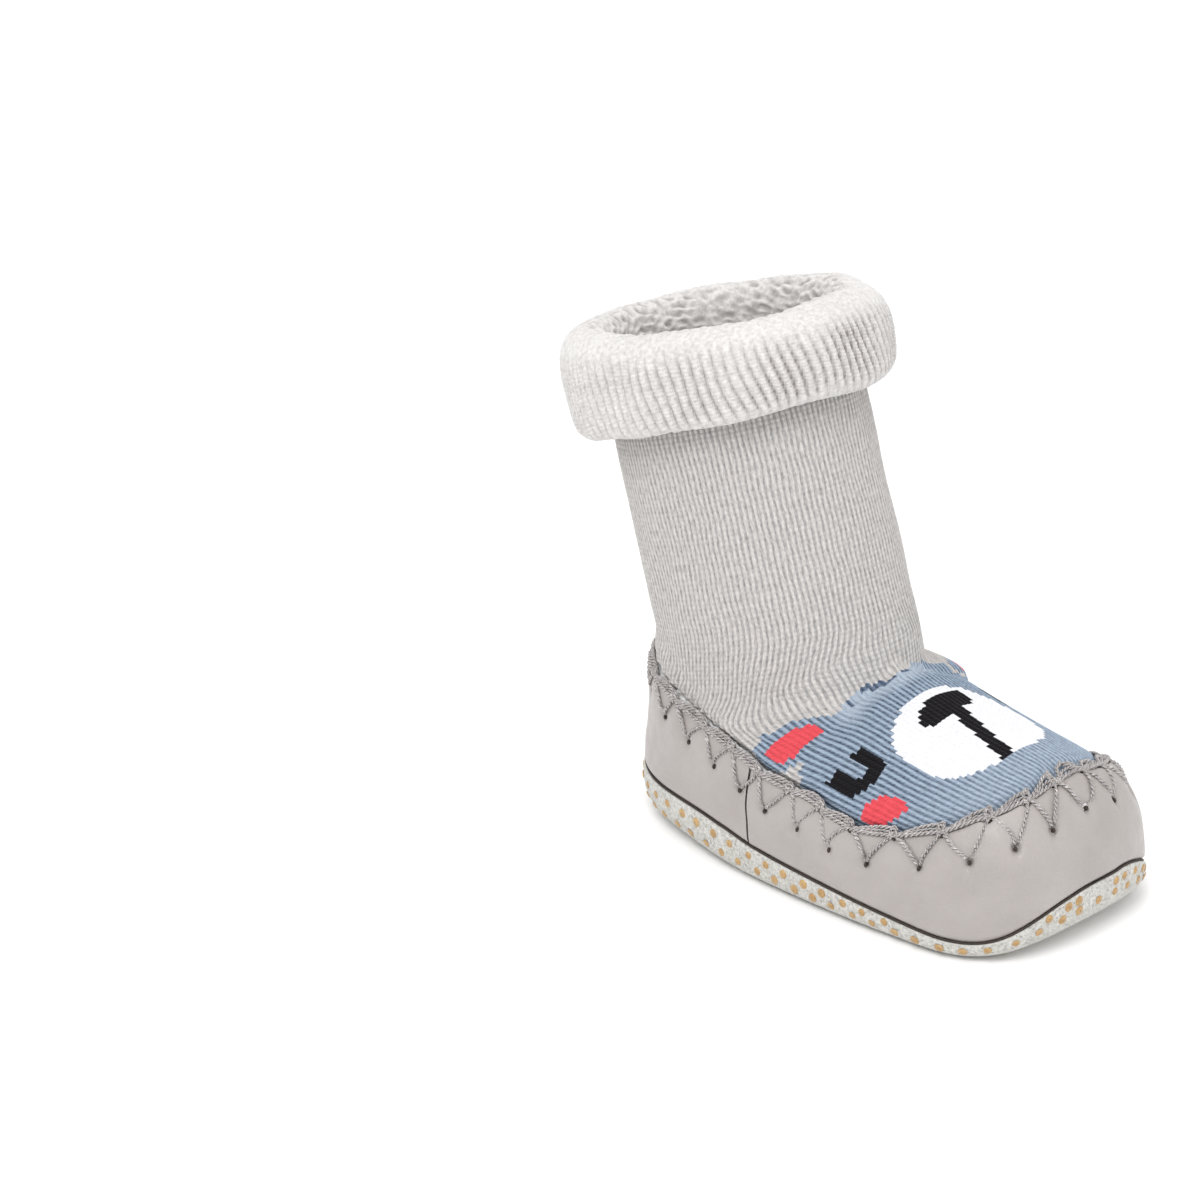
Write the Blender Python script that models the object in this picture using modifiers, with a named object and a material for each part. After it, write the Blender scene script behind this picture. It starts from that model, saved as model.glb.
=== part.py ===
"""Baby bootie: a knitted sock set into a soft leather moccasin with a textile sole.

Toe towards -Y, heel towards +Y, +Z up, metres. The foot pieces hang from the empty bootie_frame,
the leg of the sock from ankle_pivot on the ankle's bending axis, and the turned-down cuff from
cuff_slide, whose Z is the axis of the leg.
"""

import math

import bmesh
import bpy
import numpy as np
from mathutils import Vector

MM = 0.001

# Driving dimensions, in millimetres, in the foot's frame: y = 0 under the middle of the sole.
SOLE_TOE = -58.5
SOLE_HEEL = 58.0
SOLE_HALF = [
    (0, -58.5), (12, -57.5), (22.5, -53), (29.5, -42), (31.5, -28), (30.5, -12),
    (28.5, 6), (27, 24), (22.8, 43), (13.5, 54.5), (0, 58),
]
CREST = [
    (-58.5, 6), (-58, 17), (-56, 24.5), (-51.5, 30), (-46, 34), (-38, 37),
    (-28, 39.5), (-18, 42), (-9, 44.2), (-4, 45.6), (-2, 47), (2, 50), (30, 64), (58, 78),
]
DOME_FOOT = 6.0
DOME_POWER = 3.0
DOME_ROUND = 0.6
HEEL_LEAN = 0.04
TOE_SPRING = 5.5
TOE_SPRING_FROM = -35.0
COLLAR_HALF_WIDTH = 26.3
COLLAR_HALF_DEPTH = 28.5

ANKLE_Y = 26.2
ANKLE_Z = 40.0
LEG_LEAN = math.radians(18)
BALL_RADIUS = 26.2
BALL_WIDTH = 0.85
BALL_LOW = -9.2
BALL_HIGH = 11.8
LEG_HALF_WIDTH = 26.2
LEG_HALF_DEPTH = 28.0
# Height along the leg, and how much narrower than its widest it is there.
LEG_NARROWING = [(13.6, 1.5), (15.4, 0.2), (18, 0), (46, 0.6), (70, 1.0)]

CUFF_BOTTOM = 53.0
CUFF_TOP = 75.0
CUFF_WIDTH = 0.955
CUFF_RADIUS = 35.6

LEATHER = 1.0
FELT = 0.7
KNIT = 1.0
GAP = 0.3
OUTSOLE = 1.3
MIDSOLE = 2.0
INSOLE = 1.1
FELT_INSET = LEATHER + GAP
KNIT_INSET = FELT_INSET + FELT + 2 * GAP
KNIT_FREE_INSET = 0.6
PLATE_INSET = 4.4
SOCK_RIM_HEEL = 37.0
SOCK_RIM_TOE = 48.5
LEATHER_ABOVE_SEAM = 1.2
FELT_SHOWS = 0.8
SIDE_SEAM_Y = 12.0
STITCH_PITCH = 9.5
SEAM_GROOVE = 0.0024
STITCH_DROP = 7.6
CHAIN_RADIUS = 0.7
CHAIN_ABOVE_EDGE = 2.2
CHAIN_INSET = 0.55
V_RADIUS = 0.42
V_OUT = 0.9
SOLE_THREAD_RADIUS = 0.4
SIDE_THREAD_RADIUS = 0.3
SIDE_THREAD_INSET = 0.5
TOE_SEAM_RADIUS = 0.45
TOE_SEAM_Z = 19.0
TOE_SEAM_SPAN = 0.22

AROUND = 48
FRAME_SHIFT = 10.9

SEAM_HEIGHT = [(-58.5, 4.4), (-30, 4.8), (-10, 6.2), (10, 7.4), (30, 9.2), (58, 9.8)]
EDGE_HEIGHT = [
    (-58.5, 32), (-54, 29.5), (-46, 25.5), (-36, 22.6), (-24, 21), (-12, 21),
    (0, 23), (12, 26.3), (26, 30), (40, 35), (52, 39.5), (58, 41),
]


def spline(points, steps=14):
    """A Catmull-Rom curve through the points."""
    p = np.asarray(points, float)
    p = np.vstack([2 * p[0] - p[1], p, 2 * p[-1] - p[-2]])
    t = (np.arange(steps) / steps)[:, None]
    runs = []
    for a, b, c, d in zip(p[:-3], p[1:-2], p[2:-1], p[3:]):
        curve = 2 * b + (c - a) * t + (2 * a - 5 * b + 4 * c - d) * t**2
        runs.append(0.5 * (curve + (3 * b - a - 3 * c + d) * t**3))
    return np.vstack(runs + [p[-2][None]])


OUTLINE = spline(SOLE_HALF)
OUTLINE_RUN = np.concatenate([[0], np.cumsum(np.linalg.norm(np.diff(OUTLINE, axis=0), axis=1))])
RIDGE = spline(CREST)
SEAM = spline(SEAM_HEIGHT)
EDGE = spline(EDGE_HEIGHT)


def outline_y(s):
    """Where the sole's outline is along the foot, s going round it from the toe, 0 to 1."""
    half = 2 * min(s % 1, 1 - s % 1)
    return float(np.interp(half * OUTLINE_RUN[-1], OUTLINE_RUN, OUTLINE[:, 1]))


def s_of_y(y, right):
    """The s at which the outline passes y, on the wearer's right (-X) or left (+X)."""
    half = np.interp(y, OUTLINE[:, 1], OUTLINE_RUN) / OUTLINE_RUN[-1] / 2
    return float(1 - half if right else half)


def seam_z(s):
    """Height of the line where the leather meets the sole."""
    y = outline_y(s)
    return float(np.interp(y, SEAM[:, 0], SEAM[:, 1])) + toe_spring(y)


def edge_z(s):
    """Height of the leather's top edge."""
    return float(np.interp(outline_y(s), EDGE[:, 0], EDGE[:, 1]))


def toe_spring(y):
    """How far the toe end of the sole turns up."""
    past = max(TOE_SPRING_FROM - y, 0) / (TOE_SPRING_FROM - SOLE_TOE)
    return TOE_SPRING * min(past, 1.05) ** 4


def half_width(y, z):
    """Half the bootie's width at y and z: a dome over the foot, and the collar's oval."""
    lean = HEEL_LEAN * max(z - 8, 0) * min(max(y / SOLE_HEEL, 0), 1)
    sole = np.interp(y + lean, OUTLINE[:, 1], OUTLINE[:, 0])
    crest = np.interp(y, RIDGE[:, 0], RIDGE[:, 1])
    rise = min(max((z - DOME_FOOT) / max(crest - DOME_FOOT, 1e-6), 0), 1)
    dome = sole * (1 - rise**DOME_POWER) ** DOME_ROUND
    off = (y - ANKLE_Y) / COLLAR_HALF_DEPTH
    collar = COLLAR_HALF_WIDTH * math.sqrt(max(1 - off * off, 0))
    return max(float(dome), collar)


def body_point(s, z):
    """A point of the bootie's outer surface."""
    toe = float(np.interp(z, RIDGE[:, 1], RIDGE[:, 0]))
    toe = min(toe, ANKLE_Y - COLLAR_HALF_DEPTH) if z > DOME_FOOT else SOLE_TOE
    heel = SOLE_HEEL - HEEL_LEAN * max(z - 8, 0)
    share = (outline_y(s) - SOLE_TOE) / (SOLE_HEEL - SOLE_TOE)
    y = toe + share * (heel - toe)
    x = half_width(y, z) if 0 < share < 1 else 0.0
    return Vector((-x if s % 1 > 0.5 else x, y, z))


def body_normal(s, z):
    """The direction out of that surface."""
    along = body_point(s + 0.004, z) - body_point(s - 0.004, z)
    up = body_point(s, z + 0.4) - body_point(s, z - 0.4)
    return along.cross(up).normalized()


def skin(s, z, inset=0.0):
    """A point that deep under the outer surface, or outside it where inset is negative."""
    return body_point(s, z) - inset * body_normal(s, z)


def knit_inset(s, z):
    """The knit lies under the leather and its felt, and swells out above their edge."""
    above = min(max((z - edge_z(s) - 1.3) / 3.4, 0), 1)
    above = above * above * (3 - 2 * above)
    return KNIT_INSET + (KNIT_FREE_INSET - KNIT_INSET) * above


def material(name, colour, roughness):
    """A Principled material."""
    made = bpy.data.materials.new(name)
    made.use_nodes = True
    shader = made.node_tree.nodes["Principled BSDF"]
    shader.inputs["Base Color"].default_value = (*colour, 1)
    shader.inputs["Roughness"].default_value = roughness
    return made


def clear_scene():
    for obj in list(bpy.data.objects):
        bpy.data.objects.remove(obj, do_unlink=True)


def empty(name, location, parent=None, lean=0.0):
    made = bpy.data.objects.new(name, None)
    made.location = location
    made.rotation_euler.x = -lean
    made.parent = parent
    PARTS.objects.link(made)
    return made


def add(name, data, finish, parent):
    """A new object of the bootie."""
    obj = bpy.data.objects.new(name, data)
    data.materials.append(finish)
    obj.parent = parent
    PARTS.objects.link(obj)
    return obj


def loft(rings, closed=True, start=False, end=False):
    """A mesh skinned over rings of points, in mm. start and end close it with a flat fan."""
    bm = bmesh.new()
    rows = [[bm.verts.new(Vector(p) * MM) for p in ring] for ring in rings]
    count = len(rows[0])
    for low, high in zip(rows, rows[1:]):
        for i in range(count if closed else count - 1):
            j = (i + 1) % count
            bm.faces.new((low[i], low[j], high[j], high[i]))
    for wanted, row in ((start, rows[0]), (end, rows[-1])):
        if wanted:
            bmesh.ops.contextual_create(bm, geom=row)
    bmesh.ops.triangulate(bm, faces=[f for f in bm.faces if len(f.verts) > 4])
    bmesh.ops.recalc_face_normals(bm, faces=bm.faces)
    mesh = bpy.data.meshes.new("loft")
    bm.to_mesh(mesh)
    bm.free()
    mesh.shade_smooth()
    mesh.set_sharp_from_angle(angle=math.radians(40))
    return mesh


def solidify(obj, thickness):
    """Gives a surface its thickness, inwards."""
    shell = obj.modifiers.new("wall", "SOLIDIFY")
    shell.thickness = thickness * MM
    shell.offset = -1
    shell.use_even_offset = True


def outward(mesh):
    """Turns an open surface's faces so that they point away from the foot's middle."""
    middle = sum((v.co for v in mesh.vertices), Vector()) / len(mesh.vertices)
    facing = sum(f.normal.dot(f.center - middle) * f.area for f in mesh.polygons)
    if facing < 0:
        mesh.flip_normals()


def wall(name, spans, levels, inset, low, high, thickness, finish):
    """A curved wall on the bootie's surface, from low(s) up to high(s), for s in spans."""
    rings = []
    for level in range(levels + 1):
        share = level / levels
        rings.append([])
        for s in spans:
            z = low(s) + share * (high(s) - low(s))
            rings[-1].append(skin(s, z, inset))
    mesh = loft(rings, closed=False)
    outward(mesh)
    obj = add(name, mesh, finish, FOOT)
    solidify(obj, thickness)
    return obj


def sole_ring(inset, height):
    """The sole's outline, drawn in by inset, at a height above its underside."""
    ring = []
    for i in range(AROUND):
        point = skin(i / AROUND, 3.0, inset)
        point.z = height + toe_spring(point.y)
        ring.append(point)
    return ring


def shrunk_ring(ring, share):
    """The ring drawn in towards the sole's centre line."""
    middle = Vector((0, 0, ring[0].z))
    made = []
    for p in ring:
        q = middle.lerp(p, share)
        q.z = p.z - toe_spring(p.y) + toe_spring(q.y)
        made.append(q)
    return made


def sole_floor(inset, height):
    """Rings from the sole's middle out to its outline, following the toe spring."""
    edge = sole_ring(inset, height)
    return [shrunk_ring(edge, share) for share in (0.05, 0.5, 0.8, 0.93)] + [edge]


def tube(name, points, radius, finish, parent, closed=True, resolution=1):
    """A cord through the points, in mm."""
    curve = bpy.data.curves.new(name, "CURVE")
    curve.dimensions = "3D"
    curve.bevel_depth = radius * MM
    curve.bevel_resolution = resolution
    curve.use_fill_caps = True
    run = curve.splines.new("POLY")
    run.points.add(len(points) - 1)
    for slot, p in zip(run.points, points):
        slot.co = (*(Vector(p) * MM), 1)
    run.use_cyclic_u = closed
    return add(name, curve, finish, parent)


def make_outsole(finish):
    """The textile sole: a shallow cup whose rim turns up to the seam."""
    rings = sole_floor(3.4, 0)
    rings += [sole_ring(1.9, 0.35), sole_ring(0.6, 1.3), sole_ring(-0.3, 2.7)]
    rings.append([skin(i / AROUND, seam_z(i / AROUND) - 0.2, -0.5) for i in range(AROUND)])
    mesh = loft(rings, start=True)
    outward(mesh)
    solidify(add("outsole", mesh, finish, FOOT), OUTSOLE)


def make_plate(name, inset, low, thickness, finish):
    """A flat layer inside the sole."""
    under = sole_floor(inset, low)
    over = sole_floor(inset, low + thickness)
    rings = under + over[::-1]
    add(name, loft(rings, start=True, end=True), finish, FOOT)


def make_sock_foot(low, finish):
    """The knitted foot: a closed toe and sole, open at the ankle."""
    rings = sole_floor(4.6, low)
    rings += [sole_ring(3.4, low + 0.7), sole_ring(2.6, low + 2.0)]
    for level in range(1, 14):
        share = level / 13
        share = 1 - (1 - share) ** 1.5
        ring = []
        for i in range(AROUND):
            s = i / AROUND
            start = low + 2.0 + toe_spring(outline_y(s))
            toeward = (SOLE_HEEL - outline_y(s)) / (SOLE_HEEL - SOLE_TOE)
            rim = SOCK_RIM_HEEL + (SOCK_RIM_TOE - SOCK_RIM_HEEL) * toeward
            z = start + share * (rim - start)
            ring.append(skin(s, z, knit_inset(s, z)))
        rings.append(ring)
    mesh = loft(rings, start=True)
    outward(mesh)
    solidify(add("sock_foot", mesh, finish, FOOT), KNIT)


def make_wraps(leather, felt):
    """Vamp and heel, each of leather with a felt backing, meeting at the two side seams."""
    seam = s_of_y(SIDE_SEAM_Y, right=False)
    front = np.linspace(-seam + SEAM_GROOVE, seam - SEAM_GROOVE, 33)
    rear = np.linspace(seam + SEAM_GROOVE, 1 - seam - SEAM_GROOVE, 23)
    layers = (("wrap", 0, 0, LEATHER, leather), ("lining", FELT_INSET, FELT_SHOWS, FELT, felt))
    for half, spans in (("vamp", front), ("heel", rear)):
        for layer, inset, extra, thickness, finish in layers:
            wall(
                f"{half}_{layer}", list(spans), 5, inset,
                lambda s: seam_z(s) + LEATHER_ABOVE_SEAM, lambda s, more=extra: edge_z(s) + more,
                thickness, finish,
            )


def make_seam_threads(thread):
    """The dark threads that close the sole and the two sides."""
    loop = [skin(i / 72, seam_z(i / 72) + 0.5, -0.1) for i in range(72)]
    tube("sole_seam_thread", loop, SOLE_THREAD_RADIUS, thread, FOOT)
    for side, right in (("left", False), ("right", True)):
        middle = s_of_y(SIDE_SEAM_Y, right)
        low, high = seam_z(middle) + 1.8, edge_z(middle) - 1.6
        run = []
        for step in range(9):
            run.append(skin(middle, low + (high - low) * step / 8, SIDE_THREAD_INSET))
        tube(f"side_seam_{side}", run, SIDE_THREAD_RADIUS, thread, FOOT, closed=False)


def make_edge_stitches(cord):
    """The cord sewn round the leather's edge: a chain along it, and a row of Vs below it."""
    chain = [skin(i / 84, edge_z(i / 84) + CHAIN_ABOVE_EDGE, CHAIN_INSET) for i in range(84)]
    tube("edge_stitch_chain", chain, CHAIN_RADIUS, cord, FOOT)
    length = sum((b - a).length for a, b in zip(chain, chain[1:] + chain[:1]))
    count = round(length / STITCH_PITCH)
    zigzag = []
    for stitch in range(count):
        for share, drop in ((0, 0), (0.25, 0.5), (0.5, 1), (0.75, 0.5)):
            s = (stitch + share) / count
            zigzag.append(skin(s, edge_z(s) + 0.1 - STITCH_DROP * drop, -V_OUT))
    tube("edge_stitch_zigzag", zigzag, V_RADIUS, cord, FOOT)


def make_toe_seam(finish):
    """The linked seam across the inside of the sock's toe."""
    arc = []
    for step in range(13):
        s = TOE_SEAM_SPAN * (step / 12 - 0.5)
        arc.append(skin(s, TOE_SEAM_Z, KNIT_INSET + KNIT + 0.8))
    tube("toe_seam", arc, TOE_SEAM_RADIUS, finish, FOOT, closed=False)


def oval(half_width_mm, half_depth, height, count=40):
    ring = []
    for i in range(count):
        turn = 2 * math.pi * i / count
        ring.append((half_width_mm * math.cos(turn), half_depth * math.sin(turn), height))
    return ring


def make_sock_leg(finish):
    """The knitted leg. Its foot end is part of a ball that turns inside the collar."""
    rings = []
    for height in np.linspace(BALL_LOW, BALL_HIGH, 6):
        depth = math.sqrt(BALL_RADIUS**2 - height**2)
        rings.append(oval(depth * BALL_WIDTH, depth, height))
    for height, less in LEG_NARROWING:
        rings.append(oval(LEG_HALF_WIDTH - less, LEG_HALF_DEPTH - less, height))
    mesh = loft(rings)
    outward(mesh)
    solidify(add("sock_leg", mesh, finish, ANKLE), KNIT)


def turned(name, profile, finish, parent):
    """A profile of (radius, height) in mm, turned round the leg and squeezed to its oval."""
    bm = bmesh.new()
    verts = [bm.verts.new((r * MM, 0, h * MM)) for r, h in profile]
    for a, b in zip(verts, verts[1:] + verts[:1]):
        bm.edges.new((a, b))
    mesh = bpy.data.meshes.new(name)
    bm.to_mesh(mesh)
    bm.free()
    obj = add(name, mesh, finish, parent)
    turn = obj.modifiers.new("turn", "SCREW")
    turn.steps = turn.render_steps = 40
    turn.use_merge_vertices = True
    turn.merge_threshold = 0.00001
    turn.use_smooth_shade = True
    obj.scale.x = CUFF_WIDTH
    return obj


def make_cuff(finish):
    """The terry top of the sock, turned down outside the leg, with its hem inside."""
    out = CUFF_RADIUS
    profile = [
        (out - 3.2, CUFF_BOTTOM), (out - 4.4, CUFF_BOTTOM + 1.4), (out - 4.2, CUFF_BOTTOM + 6),
        (out - 4.0, 68.6), (out - 5.4, 71.0), (27.9, 71.6), (25.3, 71.2), (24.9, 64.4),
        (24.0, 63.4), (22.9, 64.4), (22.7, 71.0), (24.2, 73.8), (27.4, CUFF_TOP),
        (31.0, 74.4), (33.8, 72.0), (out - 0.5, 68.4), (out, 64.0), (out - 0.2, 58.6),
        (out - 1.0, 55.0), (out - 2.0, 53.4),
    ]
    turned("cuff", profile, finish, CUFF)
    hem = [(28.5, 54.2), (28.5, 57.0), (29.4, 57.8), (30.4, 57.0), (30.6, 54.4), (29.6, 53.6)]
    turned("cuff_hem", hem, finish, CUFF)


clear_scene()
PARTS = bpy.data.collections.new("baby_bootie")
bpy.context.scene.collection.children.link(PARTS)
FOOT = empty("bootie_frame", (0, -FRAME_SHIFT * MM, 0))
ANKLE = empty("ankle_pivot", (0, ANKLE_Y * MM, ANKLE_Z * MM), FOOT, LEG_LEAN)
CUFF = empty("cuff_slide", (0, 0, 0), ANKLE)

KNIT_GREY = material("grey_knit", (0.74, 0.72, 0.70), 0.95)
TERRY_GREY = material("grey_terry", (0.78, 0.76, 0.74), 1.0)
TAUPE_LEATHER = material("taupe_leather", (0.56, 0.52, 0.51), 0.45)
WHITE_FELT = material("white_felt", (0.9, 0.9, 0.89), 0.95)
SOLE_CANVAS = material("sole_canvas", (0.68, 0.66, 0.58), 0.9)
FOAM = material("foam", (0.85, 0.84, 0.8), 0.9)
SILVER_CORD = material("silver_cord", (0.55, 0.5, 0.5), 0.4)
DARK_THREAD = material("dark_thread", (0.04, 0.03, 0.025), 0.7)

make_outsole(SOLE_CANVAS)
make_plate("midsole_pad", PLATE_INSET, OUTSOLE + GAP, MIDSOLE, FOAM)
make_plate("insole", PLATE_INSET, OUTSOLE + 2 * GAP + MIDSOLE, INSOLE, WHITE_FELT)
make_sock_foot(OUTSOLE + 4 * GAP + MIDSOLE + INSOLE, KNIT_GREY)
make_wraps(TAUPE_LEATHER, WHITE_FELT)
make_seam_threads(DARK_THREAD)
make_edge_stitches(SILVER_CORD)
make_toe_seam(KNIT_GREY)
make_sock_leg(KNIT_GREY)
make_cuff(TERRY_GREY)
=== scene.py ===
import math

import bpy
import numpy as np
from mathutils import Matrix, Vector


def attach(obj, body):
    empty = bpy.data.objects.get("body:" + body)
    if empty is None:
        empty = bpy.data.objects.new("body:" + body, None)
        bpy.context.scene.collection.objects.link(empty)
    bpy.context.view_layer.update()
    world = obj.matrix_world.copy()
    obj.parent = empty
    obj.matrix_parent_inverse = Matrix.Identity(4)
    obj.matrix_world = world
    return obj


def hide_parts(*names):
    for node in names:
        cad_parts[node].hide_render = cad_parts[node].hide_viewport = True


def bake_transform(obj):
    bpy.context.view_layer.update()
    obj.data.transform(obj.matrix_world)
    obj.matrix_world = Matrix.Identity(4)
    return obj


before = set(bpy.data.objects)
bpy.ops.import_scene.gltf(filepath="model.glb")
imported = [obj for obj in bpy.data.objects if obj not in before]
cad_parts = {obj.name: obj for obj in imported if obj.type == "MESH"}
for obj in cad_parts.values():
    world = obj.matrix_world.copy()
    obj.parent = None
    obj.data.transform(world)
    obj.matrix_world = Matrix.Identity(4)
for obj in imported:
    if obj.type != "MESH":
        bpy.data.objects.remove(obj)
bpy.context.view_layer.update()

# The bootie's form, in millimetres in the foot's own frame. SHIFT is taken from its y to reach the row's.
MM = 0.001
SHIFT = 10.9
SOLE_TOE, SOLE_HEEL = -58.5, 58.0
SOLE_HALF = [
    (0, -58.5), (12, -57.5), (22.3, -53), (28.9, -42.5), (30.6, -28), (31.0, -12),
    (30.4, 6), (28.8, 24), (23.8, 43), (13.8, 54.5), (0, 58),
]
CREST = [
    (-58.5, 6), (-58, 17), (-56.4, 25), (-52.2, 31.3), (-46.5, 34.8), (-38, 36.3), (-28, 37.9), (-18, 39.9),
    (-9, 42.2), (-5.4, 43.7), (-2.8, 46.6), (-0.6, 54.0), (3, 65), (6, 74.5), (9, 84), (23, 127),
]
SEAM_HEIGHT = [
    (-58.5, 6.7), (-55, 4.8), (-50, 3.9), (-42, 4.1), (-28, 5.1), (-10, 6.5), (8, 7.9), (18, 9.5),
    (30, 10.4), (58, 10.3),
]
# Most of these places come from a scratch program, which cast spots picked in the photograph through
# the fitted camera onto this form. The heights were then smoothed, and set one by one at the heel.
EDGE_HEIGHT = [
    (-58.5, 33), (-56, 31.6), (-51.7, 29.7), (-45, 27.2), (-39, 24.9), (-33.6, 23.3), (-28, 21.9),
    (-22.9, 21), (-17.4, 20.7), (-12.4, 21.4), (-6.3, 23), (0.6, 24.2), (7, 25.4), (11.4, 27.1),
    (19.9, 29.4), (29.3, 31.3), (36, 32.4), (45, 33.8), (52, 35.2), (58, 36.4),
]
ANKLE_Y, ANKLE_Z = 25.0, 40.0
LEAN = math.radians(18)
LEG_HALF_WIDTH = [(-40, 24.5), (-12, 25.8), (5, 26.6), (15, 26.9), (46, 26.4), (75, 26.0)]
LEG_HALF_DEPTH = [(-40, 27.6), (-12, 28.6), (5, 28.9), (15, 28.8), (46, 28.2), (75, 27.8)]
CUFF_SQUEEZE = 0.955
COLLAR_HALF_WIDTH, COLLAR_HALF_DEPTH = 26.3, 28.5
LEATHER = 1.0
HEEL_LEAN = 0.09
FELT_INSET = 1.3
KNIT_INSET, KNIT_FREE_INSET = 2.6, 0.6
SIDE_SEAM_Y = 9.4
# Shares of the way round from the toe, on each side. Most are that program's output as it printed
# them. Those nearest the toe and beyond 0.4 were set one by one, and STITCH_DROP, in mm below the
# edge, was worked out from the same places.
KNOT_PLACES = (
    0.038, 0.0691, 0.0969, 0.1297, 0.1652, 0.2009, 0.2277, 0.2536, 0.2816, 0.3065, 0.3348, 0.3732,
    0.409, 0.4455, 0.482,
)
FOOT_PLACES = (
    0.0, 0.0475, 0.077, 0.1065, 0.143, 0.1856, 0.2179, 0.2472, 0.278, 0.3026, 0.3294, 0.3594, 0.3922,
    0.429, 0.465, 0.5,
)
STITCH_DROP = [
    (0, 4.3), (0.05, 5.2), (0.1, 5.6), (0.14, 5.3), (0.19, 5.6), (0.25, 6.7), (0.3, 7.6),
    (0.33, 7.0), (0.39, 5.9), (0.5, 5.6),
]
WALES, SUB, COURSE = 136, 4, 1.05
FAN_Y, FAN_Z = -12.0, 58.0
FAN_STEPS, LINING_FAN_STEPS = 35, 14
DOME_FOOT, DOME_POWER, DOME_ROUND = 6, 3, 0.6
HEEL_LEAN_FROM = 8
TOE_SPRING, TOE_SPRING_FROM, TOE_SPRING_REACH = 5.5, -35.0, 23.5
LEG_FROM = 48
LINING_DEPTH = 1.7
SEAM_BOW = 0.0052
HEEL_FROM, HEEL_FULL = 5, 42
SOLE_COLUMNS = 480
DOT_PITCH, SIDE_DOT_PITCH, DOT_RADIUS = 4.7, 5.3, 0.95


def spline(points, steps=14):
    p = np.asarray(points, float)
    p = np.vstack([2 * p[0] - p[1], p, 2 * p[-1] - p[-2]])
    t = (np.arange(steps) / steps)[:, None]
    runs = []
    for a, b, c, d in zip(p[:-3], p[1:-2], p[2:-1], p[3:]):
        curve = 2 * b + (c - a) * t + (2 * a - 5 * b + 4 * c - d) * t**2
        runs.append(0.5 * (curve + (3 * b - a - 3 * c + d) * t**3))
    return np.vstack(runs + [p[-2][None]])


def table(x, curve):
    return np.interp(x, curve[:, 0], curve[:, 1])


def ease(x, low, high):
    t = np.clip((x - low) / (high - low), 0, 1)
    return t * t * (3 - 2 * t)


def unit(v):
    return v / (np.linalg.norm(v, axis=-1, keepdims=True) + 1e-12)


def lengths(points):
    """Distance run along a line of points."""
    steps = np.linalg.norm(np.diff(points, axis=0), axis=1)
    return np.concatenate([[0], np.cumsum(steps)])


def ripple(p, size, seed, waves=7):
    """Smooth noise of about -1 to 1, with bumps of that size."""
    rng = np.random.default_rng(seed)
    total = np.zeros(p.shape[:-1])
    for _ in range(waves):
        way = unit(rng.normal(size=3)) * rng.uniform(0.7, 1.4) * 2 * math.pi / size
        total += np.sin(p @ way + rng.uniform(0, 2 * math.pi))
    return total / math.sqrt(waves)


OUTLINE = spline(SOLE_HALF)
OUTLINE_RUN = lengths(OUTLINE)
RIDGE = spline(CREST)
SEAM = spline(SEAM_HEIGHT)
EDGE = spline(EDGE_HEIGHT)
GIRTH = 2 * OUTLINE_RUN[-1]


def outline_y(s):
    half = 2 * np.minimum(s % 1, 1 - s % 1)
    return np.interp(half * OUTLINE_RUN[-1], OUTLINE_RUN, OUTLINE[:, 1])


def s_of_y(y):
    return np.interp(y, OUTLINE[:, 1], OUTLINE_RUN) / OUTLINE_RUN[-1] / 2


def toe_spring(y):
    past = np.maximum(TOE_SPRING_FROM - y, 0) / TOE_SPRING_REACH
    return TOE_SPRING * np.minimum(past, 1.05) ** 4


def seam_z(s):
    """The seam between sole and leather, which rises a little more on the left of the toe."""
    y = outline_y(s)
    left_toe = 1.7 * np.exp(-((((s + 0.5) % 1 - 0.56) / 0.05) ** 2))
    return table(y, SEAM) + toe_spring(y) + left_toe


def edge_z(s):
    return table(outline_y(s), EDGE)


def sole_width(y, z):
    lean = HEEL_LEAN * np.maximum(z - HEEL_LEAN_FROM, 0) * np.clip(y / SOLE_HEEL, 0, 1)
    return np.interp(y + lean, OUTLINE[:, 1], OUTLINE[:, 0], left=0, right=0)


def body_width(y, z):
    rise = np.clip((z - DOME_FOOT) / np.maximum(table(y, RIDGE) - DOME_FOOT, 1e-6), 0, 1)
    dome = sole_width(y, z) * (1 - rise**DOME_POWER) ** DOME_ROUND
    off = (y - ANKLE_Y) / COLLAR_HALF_DEPTH
    return np.maximum(dome, COLLAR_HALF_WIDTH * np.sqrt(np.maximum(1 - off * off, 0)))


def toe_at(z):
    ridge = np.minimum(np.interp(z, RIDGE[:, 1], RIDGE[:, 0]), ANKLE_Y - COLLAR_HALF_DEPTH)
    return np.where(z > DOME_FOOT, ridge, SOLE_TOE)


def heel_at(z):
    return SOLE_HEEL - HEEL_LEAN * np.maximum(z - HEEL_LEAN_FROM, 0)


def body_point(s, z):
    s, z = np.broadcast_arrays(np.asarray(s, float), np.asarray(z, float))
    share = (outline_y(s) - SOLE_TOE) / (SOLE_HEEL - SOLE_TOE)
    y = toe_at(z) + share * (heel_at(z) - toe_at(z))
    x = np.where((share > 1e-6) & (share < 1 - 1e-6), body_width(y, z), 0)
    return np.stack([np.where(s % 1 > 0.5, -x, x), y, z], -1)


def body_normal(s, z):
    along = body_point(s + 0.004, z) - body_point(s - 0.004, z)
    up = body_point(s, z + 0.4) - body_point(s, z - 0.4)
    return unit(np.cross(along, up))


def skin(s, z, inset=0.0):
    """A point that deep under the leather's outer surface, or outside it where inset is negative."""
    return body_point(s, z) - np.asarray(inset)[..., None] * body_normal(s, z)


def leg_frame(y, z):
    """Height along the leg from the ankle, and distance behind its axis."""
    height = (y - ANKLE_Y) * math.sin(LEAN) + (z - ANKLE_Z) * math.cos(LEAN)
    behind = (y - ANKLE_Y) * math.cos(LEAN) - (z - ANKLE_Z) * math.sin(LEAN)
    return height, behind


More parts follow.
